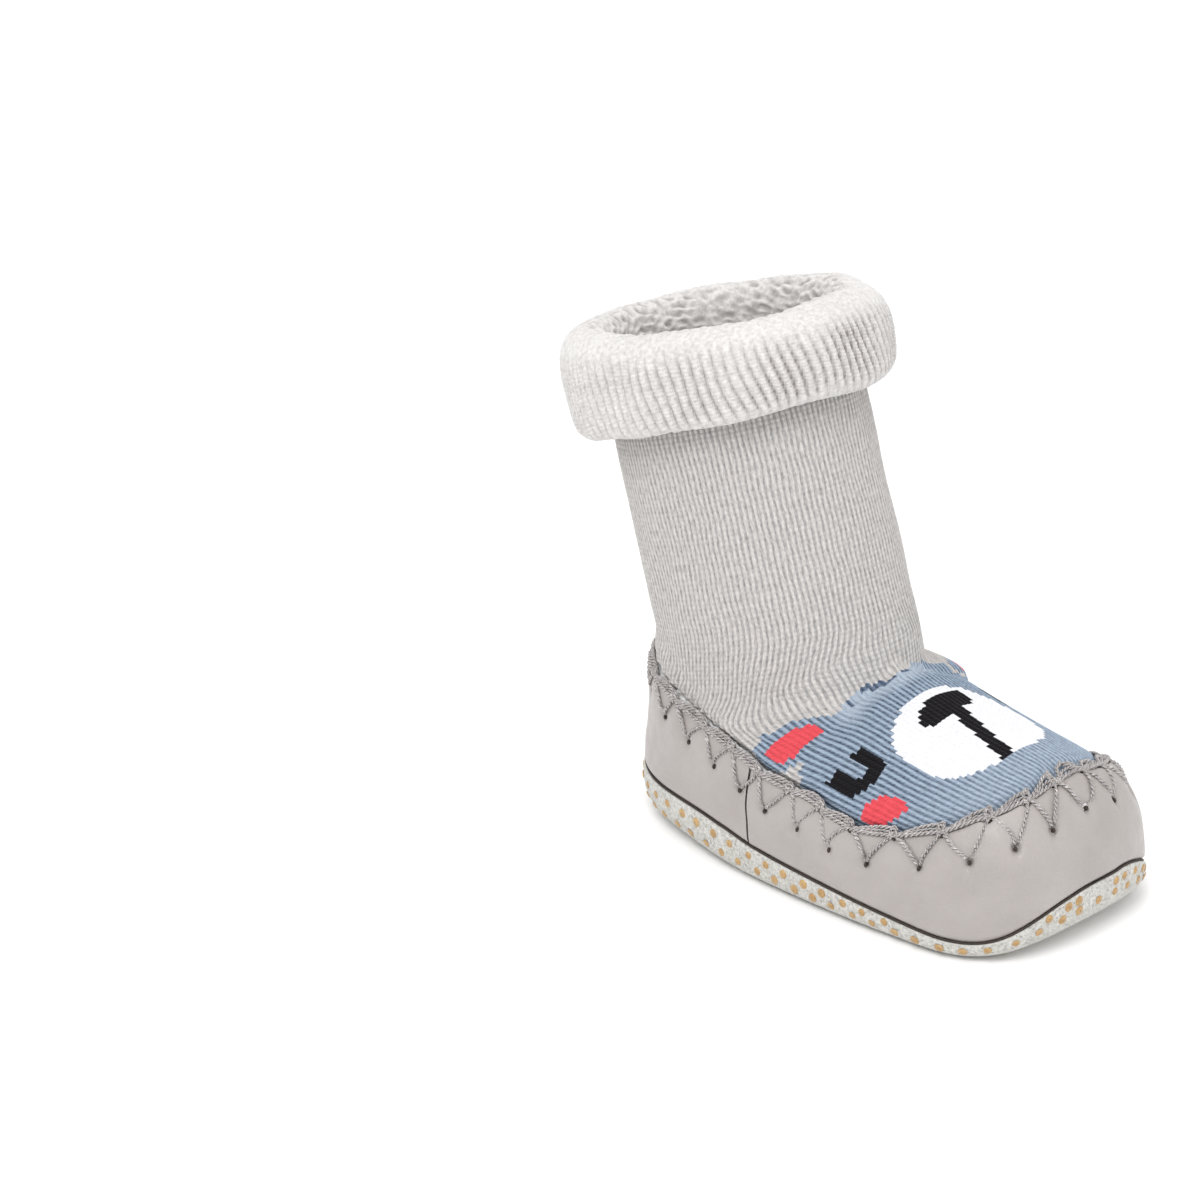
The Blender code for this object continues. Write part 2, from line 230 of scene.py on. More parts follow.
def leg_point(x, behind, height):
    y = ANKLE_Y + behind * math.cos(LEAN) + height * math.sin(LEAN)
    z = ANKLE_Z - behind * math.sin(LEAN) + height * math.cos(LEAN)
    return np.stack(np.broadcast_arrays(x, y, z), -1)


def sock_width(y, z):
    """Half the sock's width: the foot's dome and the leaning leg, blended where they meet."""
    y, z = np.asarray(y, float), np.asarray(z, float)
    crest = np.interp(y, RIDGE[:, 0], RIDGE[:, 1], left=0)
    rise = np.clip((z - DOME_FOOT) / np.maximum(crest - DOME_FOOT, 1e-6), 0, 1)
    beside_leg = ease(z - 7 * ease(y, 30, 45), 33, 47) * ease(y, -9, -2)
    dome = sole_width(y, z) * (1 - rise**DOME_POWER) ** DOME_ROUND * (z >= 0) * (1 - beside_leg)
    height, behind = leg_frame(y, z)
    wide = np.interp(height, *zip(*LEG_HALF_WIDTH))
    deep = np.interp(height, *zip(*LEG_HALF_DEPTH))
    leg = wide * np.sqrt(np.clip(1 - (behind / deep) ** 2, 0, 1)) * (height > -14) * (height < 90)
    reach = np.minimum(3.0, 0.5 * (dome + leg))
    near = np.maximum(reach - abs(dome - leg), 0) / np.maximum(reach, 1e-9)
    return np.maximum(dome, leg) + near**2 * reach / 4


def above_edge(p):
    """How far a point on the sock is above the leather's edge."""
    y, z = p[..., 1], p[..., 2]
    share = (y - toe_at(z)) / (heel_at(z) - toe_at(z))
    return z - table(SOLE_TOE + share * (SOLE_HEEL - SOLE_TOE), EDGE)


# Meshes.


def grid_quads(rows, cols, closed):
    r, c = np.meshgrid(np.arange(rows - 1), np.arange(cols if closed else cols - 1), indexing="ij")
    n = (c + 1) % cols
    return np.stack([r * cols + c, r * cols + n, (r + 1) * cols + n, (r + 1) * cols + c], -1)


def add_mesh(name, points, quads, finish, uv=None, tint_and_painted_shade=None):
    """A smooth object of quads, in mm, with a UV for each corner and a colour for each face."""
    mesh = bpy.data.meshes.new(name)
    mesh.vertices.add(len(points))
    placed = (np.asarray(points) - (0, SHIFT, 0)) * MM
    mesh.vertices.foreach_set("co", placed.astype(np.float32).ravel())
    mesh.loops.add(quads.size)
    mesh.loops.foreach_set("vertex_index", quads.astype(np.int32).ravel())
    mesh.polygons.add(len(quads))
    mesh.polygons.foreach_set("loop_start", np.arange(0, quads.size, quads.shape[1], dtype=np.int32))
    mesh.update(calc_edges=True)
    mesh.polygons.foreach_set("use_smooth", np.ones(len(quads), bool))
    if uv is not None:
        layer = mesh.uv_layers.new(name="UVMap")
        layer.data.foreach_set("uv", uv.astype(np.float32).ravel())
    if tint_and_painted_shade is not None:
        layer = mesh.color_attributes.new("tint_and_painted_shade", "FLOAT_COLOR", "CORNER")
        layer.data.foreach_set("color", np.repeat(tint_and_painted_shade, 4, 0).astype(np.float32).ravel())
    mesh.materials.append(finish)
    mesh.validate()
    obj = bpy.data.objects.new(name, mesh)
    bpy.context.scene.collection.objects.link(obj)
    return obj


def facing_out(points, quads):
    """The quads, turned so that they face away from the middle of the points."""
    corners = points[quads]
    normal = np.cross(corners[:, 2] - corners[:, 0], corners[:, 3] - corners[:, 1])
    out = (normal * (corners.mean(1) - points.mean(0))).sum()
    return quads if out >= 0 else quads[:, ::-1]


def add_grid(name, grid, finish, closed=True, u=None, v=None, keep=None, tint_and_painted_shade=None, facing=None):
    """An object from rows of points. u is a value per column (one more if closed), v per point."""
    rows, cols = grid.shape[:2]
    quads = grid_quads(rows, cols, closed)
    wide = quads.shape[1]
    uv = None
    if u is not None:
        v = np.broadcast_to(v if v.ndim == 2 else v[:, None], (rows, cols))
        left = np.broadcast_to(u[:wide], (rows - 1, wide))
        right = np.broadcast_to(u[1 : wide + 1], (rows - 1, wide))
        flat = v.reshape(-1)[quads]
        uv = np.stack([np.stack([left, right, right, left], -1), flat], -1)
    points = grid.reshape(-1, 3)
    keep = np.ones(quads.shape[:2], bool) if keep is None else keep
    quads = quads[keep]
    uv = None if uv is None else uv[keep]
    tint_and_painted_shade = None if tint_and_painted_shade is None else tint_and_painted_shade[keep]
    turned = facing_out(points, quads) if facing is None else (quads if facing else quads[:, ::-1])
    if turned is not quads and uv is not None:
        uv = uv[:, ::-1]
    used, index = np.unique(turned, return_inverse=True)
    return add_mesh(name, points[used], index.reshape(turned.shape), finish, uv, tint_and_painted_shade)


def tube_mesh(paths, radii, sides=6):
    """Points, quads and UVs of closed-ended tubes along several paths, in mm."""
    all_points, all_quads, all_uv, start = [], [], [], 0
    turn = 2 * math.pi * np.arange(sides) / sides
    for path, radius in zip(paths, radii):
        path = np.asarray(path, float)
        run = lengths(path)
        along = unit(np.gradient(path, axis=0))
        side = unit(np.cross(along, (0.31, 0.22, 0.93)))
        over = np.cross(side, along)
        size = np.full(len(path), float(radius))
        size[[0, -1]] *= 0.35
        ring = side[:, None] * np.cos(turn)[None, :, None] + over[:, None] * np.sin(turn)[None, :, None]
        points = path[:, None] + ring * size[:, None, None]
        quads = grid_quads(len(path), sides, True)
        around = np.arange(sides + 1) / sides
        u = np.stack([around[:-1], around[1:], around[1:], around[:-1]], -1)
        v = np.repeat(run, sides)[quads]
        all_points.append(points.reshape(-1, 3))
        all_uv.append(np.stack([np.broadcast_to(u, v.shape), v], -1).reshape(-1, 4, 2))
        all_quads.append(quads.reshape(-1, 4) + start)
        for first in (0, (len(path) - 1) * sides):
            cap = first + np.arange(sides)
            cap = cap if first else cap[::-1]
            for k in range(1, sides - 2, 2):
                face = [cap[0], cap[k], cap[k + 1], cap[k + 2]]
                all_quads.append(np.array([face]) + start)
                all_uv.append(np.zeros((1, 4, 2)))
        start += points.shape[0] * sides
    quads = np.concatenate(all_quads)
    return np.concatenate(all_points), quads[:, ::-1], np.concatenate(all_uv)[:, ::-1]


def rope(path, out, ply, pitch, plies=2, step=0.24, phase=0.0):
    """The twisted plies of a cord along a path, given the direction out of the surface at each point."""
    run = lengths(path)
    at = np.linspace(0, run[-1], max(int(run[-1] / step), 4))
    line = np.stack([np.interp(at, run, path[:, k]) for k in range(3)], -1)
    up = np.stack([np.interp(at, run, out[:, k]) for k in range(3)], -1)
    along = unit(np.gradient(line, axis=0))
    side = unit(np.cross(along, up))
    up = np.cross(side, along)
    made = []
    for k in range(plies):
        turn = 2 * math.pi * (at / pitch + k / plies) + phase
        made.append(line + ply * 0.92 * (np.cos(turn)[:, None] * side + np.sin(turn)[:, None] * up))
    return made


# Materials.


class Finish:
    """A node material, with short calls for its nodes."""

    def __init__(self, name, **values):
        self.material = bpy.data.materials.new(name)
        self.material.use_nodes = True
        self.tree = self.material.node_tree
        self.shader = self.tree.nodes["Principled BSDF"]
        self.put(self.shader, values)

    def put(self, node, values):
        for key, value in values.items():
            socket = node.inputs[key.replace("_", " ") if isinstance(key, str) else key]
            if isinstance(value, bpy.types.NodeSocket):
                self.tree.links.new(value, socket)
            else:
                socket.default_value = value

    def node(self, kind, output=0, values=None, **settings):
        made = self.tree.nodes.new("ShaderNode" + kind)
        for key, value in settings.items():
            setattr(made, key, value)
        self.put(made, values or {})
        return made.outputs[output]

    def math(self, operation, *inputs, clamp=False):
        return self.node("Math", values=dict(enumerate(inputs)), operation=operation, use_clamp=clamp)

    def noise(self, vector, scale, detail=2.0, rough=0.5):
        values = {"Vector": vector, "Scale": scale, "Detail": detail, "Roughness": rough}
        return self.node("TexNoise", values=values)

    def cells(self, vector, scale, output=0, feature="F1"):
        values = {"Vector": vector, "Scale": scale}
        return self.node("TexVoronoi", output, values, feature=feature)

    def ramp(self, factor, *stops):
        node = self.tree.nodes.new("ShaderNodeValToRGB")
        band = node.color_ramp
        while len(band.elements) < len(stops):
            band.elements.new(0.5)
        for element, (place, colour) in zip(band.elements, stops):
            element.position = place
            grey = (colour,) * 3 if isinstance(colour, (int, float)) else colour
            element.color = (*grey, 1)
        self.put(node, {"Fac": factor})
        return node.outputs[0]

    def mix(self, factor, a, b, blend="MIX"):
        node = self.tree.nodes.new("ShaderNodeMix")
        node.data_type = "RGBA"
        node.blend_type = blend
        sockets = [s for s in node.inputs if s.enabled]
        for socket, value in zip(sockets, (factor, a, b)):
            if isinstance(value, bpy.types.NodeSocket):
                self.tree.links.new(value, socket)
            else:
                socket.default_value = value if socket.type == "VALUE" else (*value, 1)
        return [s for s in node.outputs if s.enabled][0]

    def scaled(self, vector, x, y, z=1.0):
        return self.node("VectorMath", values={0: vector, 1: (x, y, z)}, operation="MULTIPLY")

    def bump(self, height, distance):
        values = {"Height": height, "Distance": distance, "Strength": 1.0}
        return self.node("Bump", values=values)

    @property
    def uv(self):
        return self.node("UVMap", uv_map="UVMap")

    @property
    def place(self):
        return self.node("TexCoord", 3)


def knit_finish(name, roughness, depth):
    """Plain knit: one UV unit is one stitch each way. The alpha of the colour attribute says how much painted
    shade falls in its grooves.
    """
    f = Finish(name, Roughness=roughness, Specular_IOR_Level=0.2, Sheen_Weight=0.03)
    uv = f.uv
    parts = f.tree.nodes.new("ShaderNodeSeparateXYZ")
    f.tree.links.new(uv, parts.inputs[0])
    across = f.math("ABSOLUTE", f.math("SUBTRACT", f.math("FRACT", parts.outputs[0]), 0.5))
    leg = f.math("FRACT", f.math("SUBTRACT", parts.outputs[1], f.math("MULTIPLY", across, 1.1)))
    leg = f.math("SINE", f.math("MULTIPLY", leg, math.pi))
    ridge = f.math("SINE", f.math("MULTIPLY", f.math("SUBTRACT", 0.5, across), math.pi))
    yarn = f.noise(f.scaled(uv, 2.2, 0.45), 1.5, 3.0, 0.6)
    fibre = f.noise(f.scaled(uv, 5.0, 2.2), 3.0, 2.0, 0.7)
    tint_and_painted_shade = f.tree.nodes.new("ShaderNodeAttribute")
    tint_and_painted_shade.attribute_name = "tint_and_painted_shade"
    flecks = f.ramp(yarn, (0.34, 0.74), (0.5, 0.95), (0.64, 1.06))
    heather = f.math("MULTIPLY", tint_and_painted_shade.outputs["Alpha"], 3.0, clamp=True)
    colour = f.mix(heather, tint_and_painted_shade.outputs["Color"], f.mix(1.0, tint_and_painted_shade.outputs["Color"], flecks, "MULTIPLY"))
    # Painted shade in the grooves between wales: the colour is darkened there, as far as the alpha says.
    hollow_shade = f.ramp(ridge, (0.0, 1.0), (0.55, 0.82), (0.84, 0.08), (1.0, 0.0))
    broken = f.ramp(yarn, (0.42, 1.0), (0.66, 0.7))
    loose = f.math("SUBTRACT", 1.0, f.math("MULTIPLY", leg, 0.25))
    hollow_shade = f.math("MULTIPLY", f.math("MULTIPLY", hollow_shade, broken), loose)
    dark = f.math("MULTIPLY", hollow_shade, tint_and_painted_shade.outputs["Alpha"], clamp=True)
    shade = f.mix(1.0, colour, (0.10, 0.125, 0.17), "MULTIPLY")
    f.put(f.shader, {"Base Color": f.mix(dark, colour, shade)})
    height = f.math("ADD", f.math("MULTIPLY", leg, ridge), f.math("MULTIPLY", fibre, 0.5))
    f.put(f.shader, {"Normal": f.bump(height, depth)})
    return f.material


def terry_finish():
    """Soft loops. The colour attribute paints shade into the hollows."""
    f = Finish("grey_terry", Roughness=1.0, Sheen_Weight=0.3, Sheen_Roughness=0.5)
    where = f.place
    loops = f.noise(where, 1100.0, 3.0, 0.6)
    patch = f.noise(where, 90.0, 2.0, 0.5)
    hollow_shade = f.tree.nodes.new("ShaderNodeAttribute")
    hollow_shade.attribute_name = "tint_and_painted_shade"
    colour = f.ramp(
        loops, (0.28, (0.48, 0.46, 0.447)), (0.5, (0.595, 0.575, 0.56)), (0.72, (0.70, 0.685, 0.675)),
    )
    soft = f.ramp(patch, (0.3, 0.94), (0.7, 1.0))
    colour = f.mix(1.0, colour, soft, "MULTIPLY")
    shade = f.mix(1.0, colour, (0.40, 0.38, 0.37), "MULTIPLY")
    f.put(f.shader, {"Base Color": f.mix(hollow_shade.outputs["Fac"], colour, shade)})
    f.put(f.shader, {"Normal": f.bump(loops, 0.00025)})
    return f.material


def leather_finish():
    f = Finish("taupe_leather", Specular_IOR_Level=0.42, Sheen_Weight=0.08, Sheen_Roughness=0.4)
    where = f.place
    cloud = f.noise(where, 60.0, 3.0, 0.55)
    grain = f.cells(where, 2400.0)
    pores = f.cells(where, 900.0, feature="SMOOTH_F1")
    crease = f.noise(where, 420.0, 4.0, 0.6)
    colour = f.ramp(
        cloud, (0.3, (0.330, 0.303, 0.289)), (0.5, (0.360, 0.331, 0.316)), (0.72, (0.385, 0.357, 0.342)),
    )
    speck = f.ramp(grain, (0.05, 0.94), (0.4, 1.0))
    f.put(f.shader, {"Base Color": f.mix(1.0, colour, speck, "MULTIPLY")})
    f.put(f.shader, {"Roughness": f.ramp(crease, (0.3, 0.35), (0.7, 0.47))})
    height = f.math("ADD", f.math("MULTIPLY", grain, 0.5), f.math("MULTIPLY", pores, 0.6))
    height = f.math("ADD", height, f.math("MULTIPLY", crease, 0.9))
    f.put(f.shader, {"Normal": f.bump(height, 0.00009)})
    return f.material


def felt_finish():
    f = Finish("white_felt", Roughness=1.0, Sheen_Weight=0.4, Sheen_Roughness=0.6)
    where = f.place
    fibres = f.noise(where, 2600.0, 4.0, 0.75)
    f.put(f.shader, {"Base Color": f.ramp(fibres, (0.3, 0.66), (0.6, 0.86))})
    f.put(f.shader, {"Normal": f.bump(fibres, 0.0003)})
    return f.material


def canvas_finish():
    """Speckled fabric of the sole: pale and grey fibres with a few dark flecks."""
    f = Finish("sole_canvas", Roughness=0.95, Sheen_Weight=0.15)
    where = f.place
    fibres = f.noise(where, 1500.0, 4.0, 0.75)
    blotch = f.noise(where, 380.0, 2.0, 0.6)
    dots = f.cells(where, 1300.0)
    chance = f.cells(where, 1300.0, 1)
    base = f.ramp(
        fibres, (0.32, (0.29, 0.285, 0.26)), (0.46, (0.52, 0.51, 0.475)), (0.66, (0.70, 0.69, 0.66)),
    )
    base = f.mix(1.0, base, f.ramp(blotch, (0.3, 0.86), (0.7, 1.0)), "MULTIPLY")
    near = f.math("LESS_THAN", dots, 0.32)
    rare = f.math("GREATER_THAN", f.node("SeparateColor", 0, {0: chance}), 0.86)
    dark = f.math("MULTIPLY", near, rare)
    f.put(f.shader, {"Base Color": f.mix(f.math("MULTIPLY", dark, 0.6), base, (0.16, 0.15, 0.13))})
    weave = f.math("ADD", fibres, f.math("MULTIPLY", dots, 0.5))
    f.put(f.shader, {"Normal": f.bump(weave, 0.00025)})
    return f.material


def rubber_finish():
    f = Finish("grip_dot_rubber", Roughness=0.34, Specular_IOR_Level=0.55)
    where = f.place
    tone = f.noise(where, 500.0, 3.0, 0.6)
    f.put(f.shader, {"Base Color": f.ramp(tone, (0.3, (0.34, 0.195, 0.07)), (0.7, (0.49, 0.315, 0.13)))})
    f.put(f.shader, {"Normal": f.bump(tone, 0.00006)})
    return f.material


def cord_finish():
    """Shiny flat filaments twisted into a cord: streaks run along the plies, with painted highlights and
    painted shade in the colour.
    """
    f = Finish("silver_cord", Metallic=0.35, Specular_IOR_Level=0.6, Sheen_Weight=0.1)
    uv = f.uv
    streak = f.noise(f.scaled(uv, 9.0, 0.55), 2.2, 3.0, 0.65)
    cloud = f.noise(f.place, 520.0, 2.0, 0.5)
    # Painted highlights and shade: the streaks' colour runs from near black to near white.
    colour = f.ramp(
        streak, (0.36, (0.10, 0.085, 0.08)), (0.48, (0.34, 0.305, 0.295)), (0.60, (0.86, 0.84, 0.83)),
    )
    f.put(f.shader, {"Base Color": f.mix(1.0, colour, f.ramp(cloud, (0.3, 0.78), (0.7, 1.0)), "MULTIPLY")})
    f.put(f.shader, {"Roughness": f.ramp(streak, (0.3, 0.5), (0.7, 0.28))})
    f.put(f.shader, {"Normal": f.bump(streak, 0.00012)})
    return f.material


def plain_finish(name, low, high, scale, depth, roughness):
    """A fibrous or foamed surface that varies between two colours."""
    f = Finish(name, Roughness=roughness)
    tone = f.noise(f.place, scale, 4.0, 0.65)
    f.put(f.shader, {"Base Color": f.ramp(tone, (0.3, low), (0.7, high))})
    f.put(f.shader, {"Normal": f.bump(tone, depth)})
    return f.material


KNIT = knit_finish("grey_knit", 0.95, 0.00016)
TERRY = terry_finish()
LEATHER_SKIN = leather_finish()
FELT = felt_finish()
CANVAS = canvas_finish()
RUBBER = rubber_finish()
CORD = cord_finish()
# Dark thread for the seams, and painted shade in the holes.
THREAD_AND_HOLE_SHADE = plain_finish("dark_thread", (0.018, 0.012, 0.009), (0.06, 0.042, 0.032), 2500.0, 0.0001, 0.8)
CORD_SHADE = plain_finish("cord_shade", (0.022, 0.014, 0.013), (0.10, 0.078, 0.074), 1500.0, 0.0001, 0.7)
FOAM = plain_finish("foam", (0.66, 0.65, 0.60), (0.82, 0.81, 0.77), 1800.0, 0.0003, 0.95)
LINING_KNIT = plain_finish("inner_terry", (0.40, 0.385, 0.37), (0.74, 0.725, 0.71), 700.0, 0.0006, 1.0)


# The knitted sock.


def half_ring(start, angle, reach=150.0, samples=420):
    """Half the sock's section by the plane through start at that angle, from its front to its back."""
    way = math.cos(angle), math.sin(angle)

    def at(u):
        return start[0] + u * way[0], start[1] + u * way[1]

    def border(inside, outside):
        for _ in range(24):
            middle = (inside + outside) / 2
            if sock_width(*at(middle)) > 0:
                inside = middle
            else:
                outside = middle
        return inside

    u = np.arange(0, reach, 0.1)
    solid = sock_width(*at(u)) > 0
    first = int(np.argmax(solid))
    rest = solid[first:]
    last = first + (len(rest) if rest.all() else int(np.argmin(rest))) - 1
    low, high = border(u[first], u[first - 1]), border(u[last], u[last] + 0.1)
    u = low + (high - low) * (1 - np.cos(np.pi * np.arange(samples) / (samples - 1))) / 2
    y, z = at(u)
    x = sock_width(y, z)
    x[0] = 0
    return np.vstack([np.stack([x, y, z], 1), [0, y[-1], z[-1]]])


def sock_planes(spacing, fan_steps):
    """Planes across the leg, then fanned about a line over the instep, then across the foot."""
    c, s = math.cos(LEAN), math.sin(LEAN)
    planes = []
    for height in np.arange(70, leg_frame(FAN_Y, FAN_Z)[0], -spacing):
        planes.append(((ANKLE_Y - 60 * c + height * s, ANKLE_Z + 60 * s + height * c), -LEAN))
    for angle in np.linspace(-LEAN, -math.pi / 2, fan_steps):
        planes.append(((FAN_Y, FAN_Z), angle))
    for y in np.arange(FAN_Y - spacing, -55.5, -spacing):
        planes.append(((y, FAN_Z), -math.pi / 2))
    return planes


def sock_rings(planes, columns):
    rings = []
    for start, angle in planes:
        half = half_ring(start, angle)
        run = lengths(half)
        at = np.linspace(0, run[-1], columns // 2 + 1)
        p = np.stack([np.interp(at, run, half[:, k]) for k in range(3)], 1)
        rings.append(np.vstack([p, p[1:-1][::-1] * (-1, 1, 1)]))
    return np.array(rings)


def ring_normals(grid):
    across = np.roll(grid, -1, 1) - np.roll(grid, 1, 1)
    normal = unit(np.cross(across, np.gradient(grid, axis=0)))
    return normal * np.sign((normal * (grid - grid.mean((0, 1)))).sum())


def knit_inset(grid):
    """How deep the knit lies: under the felt inside the shoe, and nearer the surface above its edge."""
    over = np.where(grid[..., 2] > LEG_FROM, 9, above_edge(grid))
    return KNIT_INSET + (KNIT_FREE_INSET - KNIT_INSET) * ease(over, 0.7, 3.2)


# The fourth number of each yarn is how much painted shade its grooves get.
GREY = (0.590, 0.564, 0.545, 0.50)
BLUE = (0.330, 0.410, 0.515, 1.0)
# A lighter copy of the blue, for painted light.
PAINTED_LIT_BLUE = (0.410, 0.475, 0.560, 0.25)
DEEP_BLUE = (0.150, 0.195, 0.280, 0.8)
WHITE = (0.79, 0.79, 0.82, 0.06)
CORAL = (0.74, 0.080, 0.100, 0.16)
BLACK = (0.006, 0.005, 0.007, 0.05)
FACE_MIDDLE = -1.0


def face_tint(u, row):
    """The colour of each stitch: a bear's face over the instep, in stitches and rows.

    Its numbers were worked out by hand from the scratch program's output, as STITCH_DROP was.
    """
    m = abs(u - FACE_MIDDLE)
    tint_and_painted_shade = np.broadcast_to(GREY, u.shape + (4,)).copy()

    def oval(middle, at, half, high, power, line, turned=m):
        return abs((turned - middle) / half) ** power + abs((line - at) / high) ** power < 1

    head_top = np.interp(
        m, [0, 3, 5.2, 8, 10.8, 12.5, 16, 20, 22, 25, 30],
        [83.8, 83.4, 82, 81.6, 83, 83.4, 84.4, 85.8, 86.6, 88.2, 93],
    )
    ear = row + 0.18 * (m - 19.5)
    past_ear = m - np.where(u > 0, 5.5, 0)
    head = (row > head_top) & (m < 32)
    head |= oval(19.4, 82.2, 6.9, 4.6, 2, ear, past_ear)
    head |= (u > 8) & (m < 17) & (row > 80.6)
    past = row - head_top
    # Painted light: the blue is mixed with its lighter copy near the head's top and towards the toe.
    pale = np.clip((7.5 - past) / 4.5, 0, 1) * np.clip((13.5 - m) / 3.5, 0, 1) * (past > 0)
    toe = np.clip((row - 108) / 14, 0, 1) * 0.45
    share = np.maximum(pale, toe)[..., None]
    tint_and_painted_shade = np.where(head[..., None], np.array(BLUE) * (1 - share) + np.array(PAINTED_LIT_BLUE) * share, tint_and_painted_shade)
    dotted = np.sin(127.1 * u + 311.7 * row) > -0.3
    tint_and_painted_shade[head & (past > 0) & (past < 1.6) & (m < 9) & (u < 1.5) & dotted] = DEEP_BLUE
    tint_and_painted_shade[oval(19.5, 82.5, 4.5, 2.7, 2.6, ear, past_ear)] = CORAL
    tint_and_painted_shade[oval(22.5, 106.0, 2.9, 3.5, 2.6, row + 0.8 * (m - 22.6))] = CORAL
    tint_and_painted_shade[oval(0, 108.0, 13.7, 12.2, 2.5, row)] = WHITE
    nose = abs((u + 0.4) / 6.6) ** 2.6 + abs((row + 0.12 * u - 100.9) / 2.9) ** 2.6 < 1
    stem = (abs(u - 0.2 + 0.23 * (row - 104)) < 1.45) & (row > 102.5) & (row < 119.6)
    tint_and_painted_shade[nose | stem] = BLACK
    tip = row + 0.35 * (m - 17)
    eye = (abs(m - 18.9) < 4.1) & (tip > 94.4) & (tip < 102.5 - 0.13 * (m - 18.9) ** 2)
    eye &= (abs(m - 18.9) > 1.35) | (tip > 99.3)
    tint_and_painted_shade[eye] = BLACK
    return tint_and_painted_shade


def make_sock():
    grid = sock_rings(sock_planes(COURSE, FAN_STEPS), WALES * SUB)
    rows, cols = grid.shape[:2]
    normal = ring_normals(grid)
    steps = np.linalg.norm(np.diff(grid, axis=0), axis=2)
    course = np.vstack([np.zeros(cols), np.cumsum(steps, axis=0)]) / COURSE
    column = np.arange(cols)
    wave = 1 - abs(2 * (column % SUB) / SUB - 1)
    over = above_edge(grid)
    relief = np.array([-0.24, 0.03, 0.11, 0.03])[column % SUB][None]
    relief = relief * (1 + 0.15 * ripple(grid, 4.0, 3))
    folds = 0.34 * ripple(grid, 46.0, 5) * ease(grid[..., 2], 44, 62)
    folds += 0.20 * ripple(grid * (1, 1, 0.35), 13.0, 6) * ease(grid[..., 2], 30, 60)
    down = unit(np.gradient(grid, axis=0))
    sock = grid + normal * (relief + folds - knit_inset(grid))[..., None]
    sock += down * (0.42 * wave[None] * np.ones((rows, 1)))[..., None]
    across = unit(np.cross(down, normal))
    sock += across * (0.10 * ripple(grid, 9.0, 8))[..., None]
    signed = np.where(column <= cols // 2, column, column - cols)
    wale = np.floor(signed * 2 / SUB) / 2 + 0.25
    row_grid = np.broadcast_to(np.arange(rows - 1)[:, None] + 0.5, (rows - 1, cols))
    tint_and_painted_shade = face_tint(np.broadcast_to(wale[None], row_grid.shape), row_grid)
    low = np.minimum(over[:-1], over[1:])
    high = grid[1:, :, 2] > LEG_FROM
    keep = (np.minimum(low, np.roll(low, -1, 1)) > -4.5) | high
    return add_grid("sock", sock, KNIT, u=np.arange(cols + 1) / SUB, v=course, keep=keep, tint_and_painted_shade=tint_and_painted_shade)


def make_lining():
    """The inside of the sock: looped on its inner face, closed at the toe, with a floor."""
    grid = sock_rings(sock_planes(2.4, LINING_FAN_STEPS), 120)
    normal = ring_normals(grid)
    inset = knit_inset(grid) + LINING_DEPTH
    inner = grid - normal * (inset + 0.18 * ripple(grid, 3.0, 21))[..., None]
    floor = 6.5 + toe_spring(inner[..., 1]) + 0.08 * ripple(grid, 4.0, 22)
    inner[..., 2] = np.maximum(inner[..., 2], floor)
    heel_wall = 54 + 0.9 * np.maximum(inner[..., 2] - 36, 0)
    inner[..., 1] = np.minimum(inner[..., 1], heel_wall)
    toe = inner[-1].mean(0) + (0, -1.2, 0)
    last = inner[-1:]
    inner = np.vstack([inner, last * 0.5 + toe * 0.5, toe + (last - toe) * 0.02])
    return add_grid("sock_lining", inner, LINING_KNIT, facing=False)


# The turned-down cuff.


CUFF_PROFILE = [
    (30.4, 55.6), (31.4, 53.8), (33.3, 53.2), (34.9, 54.8), (35.5, 58.8), (35.6, 63.5), (35.2, 68.0),
    (34.0, 71.8), (31.4, 74.3), (28.2, 75.0), (25.4, 73.8), (23.6, 71.0), (23.0, 67.0), (23.2, 63.0),
    (24.0, 58.0),
]
CUFF_WALES = 92
CUFF_RIM = 30.0


def cuff_surface(run_low, run_high, spacing, columns):
    """The cuff's smooth surface between two distances along its profile, its normals and those distances."""
    profile = spline(CUFF_PROFILE, 12)
    run = lengths(profile)
    at = np.linspace(run_low, run_high, int((run_high - run_low) / spacing) + 1)
    radius = np.interp(at, run, profile[:, 0])
    height = np.interp(at, run, profile[:, 1])
    turn = 2 * math.pi * np.arange(columns) / columns
    x = CUFF_SQUEEZE * np.sin(turn)[None] * radius[:, None]
    behind = -np.cos(turn)[None] * radius[:, None]
    raised = np.clip((height - 57) / 18, 0, 1)[:, None] * (-1.0 - 2.1 * np.cos(turn)[None])
    grid = leg_point(x, behind, height[:, None] + raised)
    normal = unit(np.cross(np.roll(grid, -1, 1) - np.roll(grid, 1, 1), np.gradient(grid, axis=0)))
    return grid, normal, at


